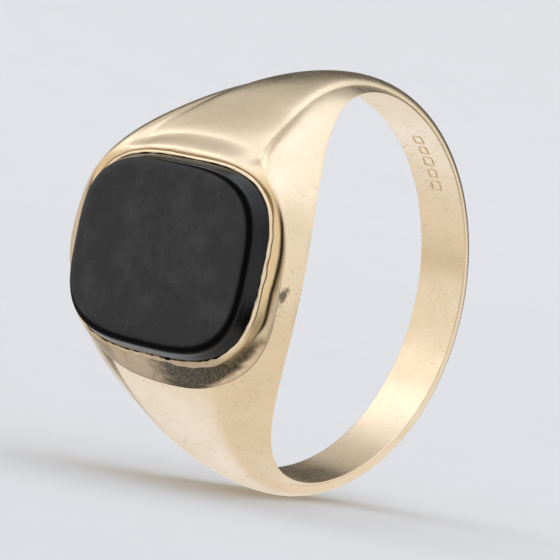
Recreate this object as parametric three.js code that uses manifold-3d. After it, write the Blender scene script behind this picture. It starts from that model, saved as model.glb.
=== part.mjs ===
// Signet ring: a cushion onyx in a rubbed-over collet on a tapered one-piece shank.
// Millimetres, +Z up. The origin is the centre of the finger hole, +X runs along the hole, and the
// head faces -Y. The angle `a` round the hole is 0 at the middle of the head and PI at the back.
import * as THREE from "three";
import { ParametricGeometry } from "three/addons/geometries/ParametricGeometry.js";
import { mergeVertices } from "three/addons/utils/BufferGeometryUtils.js";
import Module from "manifold-3d";

// ---- Driving dimensions ----
const boreRadius = 9.8; // finger hole, a standard man's size
const seatGap = 0.03; // clearance left for solder or cement between two pieces

// Lip: the bright rubbed-over edge that holds the stone. It sets the size of the whole head.
const lipHalfX = 6.03;
const lipHalfZ = 4.8;
const lipRoundness = 3.25; // exponent of the cushion outline: 2 is an ellipse, 4 nearly a rectangle
const lipWidth = 0.14;
const lipDrop = 0.1; // the lip's outer edge lies this much lower

// Rim: the collet's slope from the lip down to the shoulders.
const rimWidthX = 0.87;
const rimWidthZ = 1.2;
const rimRoundness = 2.4;
const seamReveal = 0.04; // the rim stands this proud of the shoulders at its foot

// Stone
const stoneThickness = 1.48;
const stoneStand = 0.87; // the table stands this far above the lip
const tableInset = 0.445; // the table's edge lies this far inside the lip
const tableEdge = 0.3; // rounding between the flank and the table
const girdleOverhang = 0.06; // how far the girdle, the stone's widest line, reaches under the lip
const girdleHeight = 0.11; // the stone's straight side, above the bevel on its back
const stoneBackBevel = 0.15;

// Under the stone
const cementThickness = 0.05;
const bearerThickness = 0.18; // at the middle of the head, where it is thinnest
const galleryThickness = 0.22;
const ledgeWidthX = 2.4; // from the lip in to the window that shows the stone's back
const ledgeWidthZ = 1.8;
const windowRoundness = 2.6;

// Shank and shoulders. A "head" value holds at the middle of the head and fades towards the back.
const backHalfWidth = 1.51; // half the shank's width at the back
const cheekFlare = 0.74; // how far the cheeks spread from the rim out to the bore's edge
const widthFade = 3.57; // how soon the width falls away from the head
const backCreaseInset = 0.18; // how far the shoulder's edge stands in from the bore's edge
const headCreaseInset = 3.2;
const creaseInsetFade = 3.04;
const backSideWall = 0.2; // height of the shank's straight side at the back
const creaseOverLip = 0.51; // the shoulders' edges would rise this far above the lip, were they not cut
const sideWallFade = 4.4;
const cheekBulge = 0.75; // how far the cheeks swell at the head
const cheekBulgeFade = 10;
const cheekTilt = 1.2; // how much fuller the cheeks are above the head's middle than below it
const backCrown = 1.07; // height of the shank's dome above its side wall
const headCrown = 0.05; // height of the shoulder's dome at the head
const crownFade = 1.22;
const domeRoundness = 2.05; // 2 is an elliptical dome, 1 a parabolic one with a crisp edge
const profileDrop = 0.1; // the outside sits this much lower than the bore, so the base is thicker
const boreEdge = 0.08; // broken edge where the bore meets the cheeks

// Facets
const ringSteps = 96;
const outlineSteps = 72;
const domeSteps = 14;
const cheekSteps = 4;

// ---- Worked-out sizes. Heights are measured from the bore's centre, from the bore up. ----
const galleryOuterRadius = boreRadius + galleryThickness;
const bearerBottomRadius = galleryOuterRadius + seatGap;
const bearerTop = bearerBottomRadius + bearerThickness;
const stoneBack = bearerTop + seatGap + cementThickness + seatGap;
const tableHeight = stoneBack + stoneThickness;
const lipHeight = tableHeight - stoneStand;
const girdleTop = stoneBack + stoneBackBevel + girdleHeight;
const headHalfWidth = lipHalfX + rimWidthX + cheekFlare;
const headSideWall = lipHeight - boreRadius + creaseOverLip;

// ---- Materials ----
const gold = new THREE.MeshStandardMaterial({ color: 0xe3c795, metalness: 1, roughness: 0.22 });
const collarGold = new THREE.MeshStandardMaterial({ color: 0xdcbd86, metalness: 1, roughness: 0.3 });
const innerGold = new THREE.MeshStandardMaterial({ color: 0xd2b27c, metalness: 1, roughness: 0.4 });
const onyx = new THREE.MeshStandardMaterial({ color: 0x1c1c1d, metalness: 0, roughness: 0.35 });
const cement = new THREE.MeshStandardMaterial({ color: 0x4a3f35, metalness: 0, roughness: 0.8 });

// ---- Boolean cuts ----
const wasm = await Module();
wasm.setup();

function solidFrom(geometry) {
  return new wasm.Manifold(
    new wasm.Mesh({
      numProp: 3,
      vertProperties: geometry.getAttribute("position").array,
      triVerts: new Uint32Array(geometry.index.array),
    }),
  );
}

function geometryFrom(solid) {
  const { vertProperties, triVerts } = solid.getMesh();
  const geometry = new THREE.BufferGeometry();
  geometry.setAttribute("position", new THREE.BufferAttribute(vertProperties, 3));
  geometry.setIndex(new THREE.BufferAttribute(triVerts, 1));
  return geometry;
}

// ---- Surfaces ----
// A closed surface from rows of points: rows[i][j] with i round the piece and j round its section.
// Corners that fall on one point, as at the middle of the stone, lose their empty triangles.
function closedSurface(rows) {
  const across = rows[0].length;
  const pick = (u, v, target) => {
    const row = rows[Math.round(u * rows.length) % rows.length];
    target.copy(row[Math.round(v * across) % across]);
  };
  const sheet = new ParametricGeometry(pick, rows.length, across);
  sheet.deleteAttribute("normal");
  sheet.deleteAttribute("uv");
  const merged = mergeVertices(sheet, 1e-3);
  const kept = [];
  for (let i = 0; i < merged.index.count; i += 3) {
    const [a, b, c] = [0, 1, 2].map((k) => merged.index.getX(i + k));
    if (a !== b && b !== c && c !== a) kept.push(a, b, c);
  }
  merged.setIndex(kept);
  return merged;
}

const headShare = (a) => (1 + Math.cos(a)) / 2; // 1 at the middle of the head, 0 at the back
const fade = (back, head, power, a) => back + (head - back) * headShare(a) ** power;
const onBore = (a, x, r) => new THREE.Vector3(x, -r * Math.cos(a), r * Math.sin(a));

// The body's section at the angle a: half widths and radii of the bore edge, the crease and the crown.
function bodySection(a) {
  const halfWidth = fade(backHalfWidth, headHalfWidth, widthFade, a);
  const drop = (profileDrop / 2) * Math.sin(a);
  const creaseX = halfWidth - fade(backCreaseInset, headCreaseInset, creaseInsetFade, a);
  const creaseR = boreRadius + fade(backSideWall, headSideWall, sideWallFade, a) - drop;
  const crownR = creaseR + fade(backCrown, headCrown, crownFade, a) - drop;
  const bulge = fade(0, cheekBulge, cheekBulgeFade, a) * (1 + cheekTilt * Math.sin(a));
  return { halfWidth, creaseX, creaseR, crownR, bulge };
}

// Radius of the cheek, given as the share of the way from the bore's edge to the crease.
function cheekRadius({ creaseR, bulge }, share) {
  return boreRadius + (creaseR - boreRadius) * share + 4 * bulge * share * (1 - share);
}

function domeRadius({ creaseX, creaseR, crownR }, x) {
  return creaseR + (crownR - creaseR) * Math.max(0, 1 - (x / creaseX) ** 2) ** (1 / domeRoundness);
}

// Height above the bore's centre of the body's outside at a place (x, z) on the head.
function bodyHeight(x, z) {
  let r = boreRadius;
  for (let i = 0; i < 40; i += 1) {
    const section = bodySection(Math.asin(THREE.MathUtils.clamp(z / r, -1, 1)));
    const out = Math.abs(x);
    const share = (section.halfWidth - out) / (section.halfWidth - section.creaseX);
    const onDome = out < section.creaseX;
    r = (r + (onDome ? domeRadius(section, out) : cheekRadius(section, Math.max(0, share)))) / 2;
  }
  return Math.sqrt(r * r - z * z);
}

// A point of a cushion outline at the angle t, in X and Z.
function cushionPoint(t, { x, z, roundness }) {
  if (x === 0) return new THREE.Vector2(0, 0);
  const [c, s] = [Math.cos(t), Math.sin(t)];
  const reach = (Math.abs(c / x) ** roundness + Math.abs(s / z) ** roundness) ** (-1 / roundness);
  return new THREE.Vector2(reach * c, reach * s);
}

const cushion = (x, z, roundness) => ({ x, z, roundness });
const grown = (outline, by) => cushion(outline.x + by, outline.z + by, outline.roundness);
const level = (height) => () => height;
const onCylinder = (radius) => (x, z) => Math.sqrt(radius * radius - z * z);

// A solid whose section goes round a cushion outline. Each ring is an outline with a height, which may
// vary over the head, and the last ring joins the first.
function cushionLoft(rings) {
  const rows = [];
  for (let i = 0; i < outlineSteps; i += 1) {
    const t = (i / outlineSteps) * 2 * Math.PI;
    rows.push(
      rings.map(({ outline, height }) => {
        const p = cushionPoint(t, outline);
        return new THREE.Vector3(p.x, -height(p.x, p.y), p.y);
      }),
    );
  }
  return closedSurface(rows);
}

// A cushion prism that stands on the head's axis between two heights.
function cushionPrism(outline, bottom, top) {
  const middle = cushion(0, 0, 2);
  const centre = (height) => ({ outline: middle, height: level(height) });
  const edge = (height) => ({ outline, height: level(height) });
  return solidFrom(cushionLoft([centre(bottom), edge(bottom), edge(top), centre(top)]));
}

// ---- Outlines ----
const colletOutline = cushion(lipHalfX + rimWidthX, lipHalfZ + rimWidthZ, rimRoundness);
const pocketOutline = grown(colletOutline, seatGap);
const lipOutline = cushion(lipHalfX, lipHalfZ, lipRoundness);
const girdleOutline = grown(lipOutline, girdleOverhang);
const seatOutline = grown(girdleOutline, seatGap);
const windowOutline = cushion(lipHalfX - ledgeWidthX, lipHalfZ - ledgeWidthZ, windowRoundness);
const tableOutline = grown(lipOutline, -tableInset);
const flankLean = (girdleOutline.x - tableOutline.x) / (tableHeight - girdleTop);
const flankAt = (height) => grown(girdleOutline, -flankLean * (height - girdleTop));

// ---- Ring body ----
// The section's loop at the angle a: up the near cheek, over the dome, down the far cheek and back
// along the bore.
function bodyRow(a) {
  const section = bodySection(a);
  const { halfWidth, creaseX } = section;
  const side = [[halfWidth - boreEdge, boreRadius]];
  const firstShare = boreEdge / (section.creaseR - boreRadius + 4 * section.bulge);
  for (let j = 0; j <= cheekSteps; j += 1) {
    const share = firstShare + ((1 - firstShare) * j) / cheekSteps;
    side.push([halfWidth + (creaseX - halfWidth) * share, cheekRadius(section, share)]);
  }
  const dome = [];
  for (let j = 1; j < domeSteps; j += 1) {
    const x = creaseX * Math.cos((j / domeSteps) * Math.PI);
    dome.push([x, domeRadius(section, x)]);
  }
  const farSide = side.map(([x, r]) => [-x, r]).reverse();
  return [...side, ...dome, ...farSide].map(([x, r]) => onBore(a, x, r));
}

function ringBody() {
  const rows = [];
  for (let i = 0; i < ringSteps; i += 1) rows.push(bodyRow((i / ringSteps) * 2 * Math.PI));
  const blank = solidFrom(closedSurface(rows));
  const pocket = cushionPrism(pocketOutline, boreRadius / 2, tableHeight + headSideWall);
  return geometryFrom(blank.subtract(pocket));
}

// ---- Setting ----
// Outside of the collet from its foot to the lip, then down its inside, which follows the stone's flank.
function bezelCollet() {
  const foot = onCylinder(bearerBottomRadius);
  const seam = (x, z) => bodyHeight(x, z) + seamReveal;
  const lipEdge = lipHeight - lipDrop / 2;
  return cushionLoft([
    { outline: colletOutline, height: foot },
    { outline: colletOutline, height: seam },
    { outline: grown(lipOutline, lipWidth), height: level(lipHeight - lipDrop) },
    { outline: grown(lipOutline, lipWidth / 2), height: level(lipHeight) },
    { outline: grown(flankAt(lipEdge), seatGap), height: level(lipEdge) },
    { outline: seatOutline, height: level(girdleTop) },
    { outline: seatOutline, height: foot },
  ]);
}

function stoneBearer() {
  const outside = grown(seatOutline, -seatGap);
  const foot = onCylinder(bearerBottomRadius);
  return cushionLoft([
    { outline: windowOutline, height: foot },
    { outline: outside, height: foot },
    { outline: outside, height: level(bearerTop) },
    { outline: windowOutline, height: level(bearerTop) },
  ]);
}

function cementBed() {
  const outside = grown(girdleOutline, -2 * stoneBackBevel);
  const inside = grown(windowOutline, stoneBackBevel);
  const [bottom, top] = [bearerTop + seatGap, bearerTop + seatGap + cementThickness];
  return cushionLoft([
    { outline: inside, height: level(bottom) },
    { outline: outside, height: level(bottom) },
    { outline: outside, height: level(top) },
    { outline: inside, height: level(top) },
  ]);
}

function onyxStone() {
  const middle = cushion(0, 0, 2);
  const flankTop = tableHeight - tableEdge;
  return cushionLoft([
    { outline: middle, height: level(stoneBack) },
    { outline: grown(girdleOutline, -stoneBackBevel), height: level(stoneBack) },
    { outline: girdleOutline, height: level(stoneBack + stoneBackBevel) },
    { outline: girdleOutline, height: level(girdleTop) },
    { outline: flankAt(flankTop), height: level(flankTop) },
    { outline: grown(tableOutline, -tableEdge / 4), height: level(tableHeight - tableEdge / 4) },
    { outline: grown(tableOutline, -tableEdge), height: level(tableHeight) },
    { outline: middle, height: level(tableHeight) },
  ]);
}

// ---- Gallery plate ----
function galleryPlate() {
  const outside = grown(pocketOutline, -seatGap);
  const [inner, outer] = [onCylinder(boreRadius), onCylinder(galleryOuterRadius)];
  return cushionLoft([
    { outline: windowOutline, height: inner },
    { outline: outside, height: inner },
    { outline: outside, height: outer },
    { outline: windowOutline, height: outer },
  ]);
}

// ---- Assembly ----
const ring = new THREE.Group();
function add(name, geometry, material) {
  const mesh = new THREE.Mesh(geometry, material);
  mesh.name = name;
  ring.add(mesh);
}

add("ring_body", ringBody(), gold);
add("bezel_collet", bezelCollet(), collarGold);
add("stone_bearer", stoneBearer(), innerGold);
add("cement_bed", cementBed(), cement);
add("onyx_stone", onyxStone(), onyx);
add("gallery_plate", galleryPlate(), innerGold);

export default ring;
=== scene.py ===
"""A signet ring: a cushion onyx in a rubbed-over collet on a tapered, one-piece gold shank.

Lengths in the classes are millimetres and Blender's are metres. The origin is the centre of the finger
hole, +X runs along the hole and the head faces -Y. An angle round the hole is 0 at the middle of the
head and pi at the back. A height is measured from the hole's axis towards the head, so it is -Y.
"""

import logging
import math
from dataclasses import dataclass, fields
from enum import Enum
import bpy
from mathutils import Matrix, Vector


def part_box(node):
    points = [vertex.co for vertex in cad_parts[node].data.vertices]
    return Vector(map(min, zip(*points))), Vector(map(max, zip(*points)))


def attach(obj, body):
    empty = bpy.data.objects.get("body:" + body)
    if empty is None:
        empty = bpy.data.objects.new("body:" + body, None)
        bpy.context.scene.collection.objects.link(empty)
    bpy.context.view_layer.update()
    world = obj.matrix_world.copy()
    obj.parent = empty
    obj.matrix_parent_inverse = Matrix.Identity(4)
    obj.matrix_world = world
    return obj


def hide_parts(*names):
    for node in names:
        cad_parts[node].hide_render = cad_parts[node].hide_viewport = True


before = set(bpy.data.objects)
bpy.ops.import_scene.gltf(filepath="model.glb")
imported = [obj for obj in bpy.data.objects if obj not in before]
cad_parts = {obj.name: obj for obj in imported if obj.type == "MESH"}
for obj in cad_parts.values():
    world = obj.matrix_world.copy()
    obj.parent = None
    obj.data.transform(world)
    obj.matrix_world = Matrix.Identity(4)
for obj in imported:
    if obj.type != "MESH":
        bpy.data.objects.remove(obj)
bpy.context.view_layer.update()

from types import SimpleNamespace
from typing import Any, Callable, ClassVar, Union

import bpy
import numpy as np
from mathutils import Matrix, Vector
from mathutils.bvhtree import BVHTree

MM = 0.001
TAU = 2 * math.pi
MERGE_REACH = 1e-7  # metres
SAME_SIDE = 0.75  # cosine above which a cut mesh's face belongs to the uncut surface
UPPER_SIDE = (0.5, 3.5)  # heights in Z between which the upper seam's roll comes in
HEAD_SHARES = (0.6, 0.85)  # shares of the way to the head between which the roll comes in
LOG = logging.getLogger("signet_ring")


class Slot(Enum):
    """The record's material slots."""

    POLISHED_GOLD = "polished_gold"
    COLLET_GOLD = "collet_gold"
    INNER_GOLD = "inner_gold"
    CEMENT = "cement"
    ONYX = "onyx"


# ---- Node trees ----


class Sock:
    """An output socket that Python expressions can be written with, in shader and geometry trees."""

    def __init__(self, graph: "Graph", socket: bpy.types.NodeSocket) -> None:
        """Wraps a socket of the graph."""
        self.graph = graph
        self.socket = socket

    def _math(self, operation: str, *values: Any) -> "Sock":
        """Adds a Math node."""
        return self.graph.add("ShaderNodeMath", {"operation": operation}, list(values))

    def __add__(self, other: Any) -> "Sock":
        """self + other."""
        return self._math("ADD", self, other)

    def __radd__(self, other: Any) -> "Sock":
        """other + self."""
        return self._math("ADD", other, self)

    def __sub__(self, other: Any) -> "Sock":
        """self - other."""
        return self._math("SUBTRACT", self, other)

    def __rsub__(self, other: Any) -> "Sock":
        """other - self."""
        return self._math("SUBTRACT", other, self)

    def __mul__(self, other: Any) -> "Sock":
        """self * other."""
        return self._math("MULTIPLY", self, other)

    def __rmul__(self, other: Any) -> "Sock":
        """other * self."""
        return self._math("MULTIPLY", other, self)

    def __truediv__(self, other: Any) -> "Sock":
        """self / other."""
        return self._math("DIVIDE", self, other)

    def __rtruediv__(self, other: Any) -> "Sock":
        """other / self."""
        return self._math("DIVIDE", other, self)

    def __pow__(self, other: Any) -> "Sock":
        """self ** other."""
        return self._math("POWER", self, other)

    def __mod__(self, other: Any) -> "Sock":
        """self % other, never negative."""
        return self._math("FLOORED_MODULO", self, other)

    def __neg__(self) -> "Sock":
        """-self."""
        return self._math("MULTIPLY", self, -1.0)

    def __abs__(self) -> "Sock":
        """abs(self)."""
        return self._math("ABSOLUTE", self)

    def below(self, other: Any) -> "Sock":
        """1 where self is less than other, else 0."""
        return self._math("LESS_THAN", self, other)

    def above(self, other: Any) -> "Sock":
        """1 where self is more than other, else 0."""
        return self._math("GREATER_THAN", self, other)

    def low(self, other: Any) -> "Sock":
        """The lower of self and other."""
        return self._math("MINIMUM", self, other)

    def high(self, other: Any) -> "Sock":
        """The higher of self and other."""
        return self._math("MAXIMUM", self, other)

    def cos(self) -> "Sock":
        """Cosine of self."""
        return self._math("COSINE", self)

    def sin(self) -> "Sock":
        """Sine of self."""
        return self._math("SINE", self)

    def sign(self) -> "Sock":
        """-1, 0 or 1."""
        return self._math("SIGN", self)

    def floor(self) -> "Sock":
        """The whole number below self."""
        return self._math("FLOOR", self)

    def ramp(self, start: float, end: float) -> "Sock":
        """0 before start and 1 after end, with a smooth rise or fall between them."""
        settings = {"interpolation_type": "SMOOTHSTEP"}
        return self.graph.add("ShaderNodeMapRange", settings, [self, start, end, 0.0, 1.0])


Colour = tuple[float, float, float]
Value = Union[Sock, float, int, tuple, str, bool]


class Graph:
    """Adds nodes to a tree and links them."""

    def __init__(self, tree: bpy.types.NodeTree) -> None:
        """Starts on a tree that holds no nodes."""
        self.tree = tree
        self.tree.nodes.clear()

    def node(self, kind: str, settings: dict | None = None, values: Any = None) -> bpy.types.Node:
        """Adds one node.

        Args:
            kind: the node's type.
            settings: its properties, such as a Math node's operation, set before its sockets.
            values: numbers or links, as a list by position or as a dict by socket name or position.

        Returns:
            The node.
        """
        made = self.tree.nodes.new(kind)
        for name, setting in (settings or {}).items():
            setattr(made, name, setting)
        pairs = values.items() if isinstance(values, dict) else enumerate(values or [])
        for key, value in pairs:
            socket = made.inputs[key]
            if isinstance(value, Sock):
                self.tree.links.new(value.socket, socket)
            elif value is not None:
                socket.default_value = value
        return made

    def add(self, kind: str, settings: dict | None = None, values: Any = None, out: Any = 0) -> Sock:
        """Adds one node and gives one of its outputs.

        Args:
            kind: the node's type.
            settings: its properties.
            values: its sockets' numbers or links.
            out: the output's name or position.

        Returns:
            The output.
        """
        return Sock(self, self.node(kind, settings, values).outputs[out])

    def mix(self, share: Value, first: Value, second: Value) -> Sock:
        """Mixes two colours.

        Args:
            share: 0 for the first colour, 1 for the second.
            first: a link, or red, green and blue.
            second: the same.

        Returns:
            The mixed colour.
        """
        ends = (end if isinstance(end, Sock) else opaque(end) for end in (first, second))
        settings = {"data_type": "RGBA", "blend_type": "MIX"}
        return self.add("ShaderNodeMix", settings, dict(zip((0, 6, 7), (share, *ends))), 2)

    def vector(self, x: Value, y: Value, z: Value) -> Sock:
        """Puts three numbers together."""
        return self.add("ShaderNodeCombineXYZ", None, [x, y, z])

    def parts(self, vector: Sock) -> tuple[Sock, Sock, Sock]:
        """Takes a vector apart."""
        made = self.node("ShaderNodeSeparateXYZ", None, [vector])
        return tuple(Sock(self, output) for output in made.outputs)

    def stretch(self, vector: Sock, by: tuple[float, float, float]) -> Sock:
        """Multiplies a vector by another."""
        return self.add("ShaderNodeVectorMath", {"operation": "MULTIPLY"}, [vector, by])

    def noise(self, vector: Sock, scale: float, detail: float = 3.0, roughness: float = 0.55) -> Sock:
        """Even noise from 0 to 1, about 1 / scale between its spots."""
        values = {"Vector": vector, "Scale": scale, "Detail": detail, "Roughness": roughness}
        return self.add("ShaderNodeTexNoise", None, values, "Fac")


def opaque(colour: Colour) -> tuple[float, float, float, float]:
    """A colour with no transparency."""
    return (*colour, 1.0)


class GeometryGraph(Graph):
    """A geometry tree with named inputs, for one piece."""

    def __init__(self, name: str, sizes: dict[str, float]) -> None:
        """Makes the tree with one float input for each size.

        Args:
            name: the tree's name.
            sizes: the inputs' names and values.
        """
        super().__init__(bpy.data.node_groups.new(name, "GeometryNodeTree"))
        self.sizes = sizes
        for label in sizes:
            self.tree.interface.new_socket(label, in_out="INPUT", socket_type="NodeSocketFloat")
        self.tree.interface.new_socket("Geometry", in_out="OUTPUT", socket_type="NodeSocketGeometry")
        entry = self.tree.nodes.new("NodeGroupInput")
        self.inputs = SimpleNamespace(**{label: Sock(self, entry.outputs[label]) for label in sizes})

    def moved(self, shape: Sock, place: Sock) -> Sock:
        """Puts a shape's points at other places."""
        return self.add("GeometryNodeSetPosition", None, {"Geometry": shape, "Position": place})

    def make(self, name: str, shape: Sock, material: bpy.types.Material) -> bpy.types.Object:
        """Ends the tree, evaluates it and keeps the result as a plain mesh.

        Args:
            name: the piece's name.
            shape: the last geometry.
            material: the piece's material.

        Returns:
            The piece, with no modifier left on it.
        """
        real = self.add("GeometryNodeRealizeInstances", None, [shape])
        dressed = self.add("GeometryNodeSetMaterial", None, {"Geometry": real, "Material": material})
        self.node("NodeGroupOutput", None, [dressed])
        piece = in_scene(name, bpy.data.meshes.new(name))
        modifier = piece.modifiers.new(name, "NODES")
        modifier.node_group = self.tree
        for item in self.tree.interface.items_tree:
            if item.in_out == "INPUT":
                modifier[item.identifier] = float(self.sizes[item.name])
        baked = plain_mesh(piece)
        piece.modifiers.clear()
        piece.data = baked
        return piece


# ---- Meshes ----


def in_scene(name: str, data: bpy.types.ID) -> bpy.types.Object:
    """Makes an object from its data and puts it in the scene.

    Args:
        name: the object's name.
        data: its mesh or camera.

    Returns:
        The object.
    """
    made = bpy.data.objects.new(name, data)
    bpy.context.scene.collection.objects.link(made)
    return made


def plain_mesh(piece: bpy.types.Object) -> bpy.types.Mesh:
    """Gives the mesh of an object as its modifiers leave it."""
    evaluated = piece.evaluated_get(bpy.context.evaluated_depsgraph_get())
    return bpy.data.meshes.new_from_object(evaluated)


def closed_grid(name: str, rows: np.ndarray, ring_section: bool = True) -> bpy.types.Object:
    """Makes a closed surface from rows of points, the last row joined to the first.

    Args:
        name: the piece's name.
        rows: an array of (rows, points in a row, 3), in millimetres.
        ring_section: whether each row closes on itself too. If not, its two ends are poles.

    Returns:
        The piece, shaded smooth, with its faces outwards.
    """
    count, across = rows.shape[:2]
    index = np.arange(count * across).reshape(count, across)
    right, below = np.roll(index, -1, 1), np.roll(index, -1, 0)
    corners = np.stack([index, right, np.roll(below, -1, 1), below], -1)
    faces = (corners if ring_section else corners[:, :-1]).reshape(-1, 4)
    points = rows.reshape(-1, 3) * MM
    if signed_volume(points, faces) < 0:
        faces = faces[:, ::-1]
    mesh = bpy.data.meshes.new(name)
    mesh.from_pydata(points.tolist(), [], faces.tolist())
    mesh.shade_smooth()
    return in_scene(name, mesh)


def signed_volume(points: np.ndarray, faces: np.ndarray) -> float:
    """Six times the volume inside a quad mesh, negative where its faces point inwards."""
    a, b, c, d = (points[faces[:, k]] for k in range(4))
    return float(np.einsum("ij,ij->", a, np.cross(b, c)) + np.einsum("ij,ij->", a, np.cross(c, d)))


def weld(piece: bpy.types.Object) -> None:
    """Merges points that lie on one spot and drops the faces that had no area.

    Args:
        piece: a mesh whose poles are many points on one spot.
    """
    modifier = piece.modifiers.new("weld", "WELD")
    modifier.merge_threshold = MERGE_REACH
    merged = plain_mesh(piece)
    piece.modifiers.clear()
    piece.data = merged


def sharpen(piece: bpy.types.Object, degrees: float) -> None:
    """Marks the edges that turn by more than an angle as sharp."""
    piece.data.set_sharp_from_angle(angle=math.radians(degrees))


def paint(piece: bpy.types.Object, name: str, values: np.ndarray) -> None:
    """Stores a number for each point, which a material reads by its name."""
    layer = piece.data.attributes.new(name, "FLOAT", "POINT")
    layer.data.foreach_set("value", np.ascontiguousarray(values, dtype=np.float32).ravel())


def dress(piece: bpy.types.Object, material: bpy.types.Material, slot: Slot, *nodes: str) -> None:
    """Gives a piece its material and its body, hides the CAD nodes that it stands for and logs its record
    slot.

    Args:
        piece: the finished piece.
        material: its material.
        slot: the record's slot, which is only logged.
        nodes: the CAD nodes that it replaces.
    """
    piece.data.materials.clear()
    piece.data.materials.append(material)
    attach(piece, "root")
    if nodes:
        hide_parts(*nodes)
    piece.data.calc_loop_triangles()
    LOG.info("%s: %d triangles, %s", piece.name, len(piece.data.loop_triangles), slot.value)


def wander(turns: np.ndarray, seed: int, waves: range, size: float) -> np.ndarray:
    """A smooth uneven line round an outline, as handwork leaves it.

    Args:
        turns: angles round the outline.
        seed: picks the line.
        waves: how many waves go round, for each part of the line.
        size: about the largest height.

    Returns:
        The heights at the angles.
    """
    draw = np.random.default_rng(seed)
    total = np.zeros_like(turns)
    for wave in waves:
        total += draw.normal() * np.sin(wave * turns + draw.uniform(0, TAU)) / math.sqrt(wave)
    return size * total / float(np.abs(total).max())


def toward(start: tuple, end: tuple, share: Any) -> tuple[np.ndarray, np.ndarray]:
    """The places, as X and Z, at a share of the way from one outline to another."""
    return tuple(a + (b - a) * share for a, b in zip(start, end))


def soften(values: np.ndarray, reach: int) -> np.ndarray:
    """Averages each value with its neighbours round an outline."""
    return sum(np.roll(values, k) for k in range(-reach, reach + 1)) / (2 * reach + 1)


def smooth(value: np.ndarray, start: float, end: float) -> np.ndarray:
    """0 before start and 1 after end, with a smooth rise or fall between them."""
    share = np.clip((value - start) / (end - start), 0, 1)
    return share * share * (3 - 2 * share)


def between(value: Any, start: Any, end: Any) -> Any:
    """The same smooth rise or fall, for arrays or sockets."""
    return value.ramp(start, end) if isinstance(value, Sock) else smooth(value, start, end)


@dataclass(frozen=True)
class Cushion:
    """A cushion outline seen from the front: half sizes in X and Z, and how square it is."""

    half_x: float
    half_z: float
    roundness: float

    def grown(self, by: Any) -> "Cushion":
        """The outline with both half sizes changed by as much."""
        return Cushion(self.half_x + by, self.half_z + by, self.roundness)

    def toward(self, other: "Cushion", share: float) -> "Cushion":
        """The outline at a share of the way to another."""
        mine, its = ((c.half_x, c.half_z, c.roundness) for c in (self, other))
        return Cushion(*(a + (b - a) * share for a, b in zip(mine, its)))

    def points(self, turns: np.ndarray) -> tuple[np.ndarray, np.ndarray]:
        """Finds the outline's points.

        Args:
            turns: angles round the outline.

        Returns:
            X and Z of the outline at the angles.
        """
        c, s = np.cos(turns), np.sin(turns)
        total = np.abs(c / self.half_x) ** self.roundness + np.abs(s / self.half_z) ** self.roundness
        reach = total ** (-1 / self.roundness)
        return reach * c, reach * s


# ---- Sizes that more than one piece needs ----


@dataclass
class Head:
    """The head's outlines and heights. What the CAD nodes' boxes hold is taken from them.

    The lip is the edge that is rubbed over the stone and the rim is the collet's seam with the body. The
    girdle is the stone's widest line. The window is the hole behind the stone.
    """

    lip_roundness: float = 3.25
    rim_roundness: float = 2.4
    window_roundness: float = 2.6
    lip_width: float = 0.14
    lip_drop: float = 0.1
    table_inset: float = 0.445
    table_edge: float = 0.3
    girdle_overhang: float = 0.06
    girdle_height: float = 0.11
    stone_bevel: float = 0.15
    ledge_x: float = 2.4
    ledge_z: float = 1.8
    seat_gap: float = 0.03
    bore_radius: float = 9.8
    crease_over_lip: float = 0.51

    def __post_init__(self) -> None:
        """Takes the other sizes from the CAD nodes' boxes."""
        stone_low, stone_high = (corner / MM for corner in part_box("onyx_stone"))
        collet_low, collet_high = (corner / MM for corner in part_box("bezel_collet"))
        self.table = -stone_low.y
        self.stone_back = -stone_high.y
        self.lip_height = -collet_low.y
        self.bearer_top = -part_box("stone_bearer")[0].y / MM
        self.gallery_radius = -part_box("gallery_plate")[0].y / MM
        self.girdle = Cushion(stone_high.x, stone_high.z, self.lip_roundness)
        self.lip = self.girdle.grown(-self.girdle_overhang)
        self.rim = Cushion(collet_high.x, collet_high.z, self.rim_roundness)
        window = (self.lip.half_x - self.ledge_x, self.lip.half_z - self.ledge_z)
        self.window = Cushion(*window, self.window_roundness)
        self.girdle_top = self.stone_back + self.stone_bevel + self.girdle_height
        self.bearer_foot = self.gallery_radius + self.seat_gap

    def flank(self, height: float) -> Cushion:
        """The outline of the stone's side at a height above its girdle."""
        lean = (self.girdle_overhang + self.table_inset) / (self.table - self.girdle_top)
        return self.girdle.grown(-lean * (height - self.girdle_top))


def on_cylinder(radius: float) -> Callable[[np.ndarray, np.ndarray], np.ndarray]:
    """Gives the height of a cylinder round the hole's axis at a place (x, z)."""
    return lambda x, z: np.sqrt(radius * radius - z * z)


def loft(turns: np.ndarray, rings: list) -> np.ndarray:
    """Puts rings of points one after the other.

    Args:
        turns: angles round the head.
        rings: pairs of an outline and a height, which is a number, an array or a function of x and z.

    Returns:
        Rows of points for closed_grid, one row for each angle.
    """
    columns = []
    for outline, height in rings:
        x, z = outline.points(turns) if outline else (np.zeros_like(turns), np.zeros_like(turns))
        high = height(x, z) if callable(height) else height + np.zeros_like(x)
        columns.append(np.stack([x, -high, z], -1))
    return np.stack(columns, 1)


# ---- Ring body ----


def fade(back: Any, head: Any, power: Any, share: Any) -> Any:
    """A size that is back at the back of the ring and head at the head, for numbers, arrays or sockets."""
    return back + (head - back) * share**power


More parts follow.
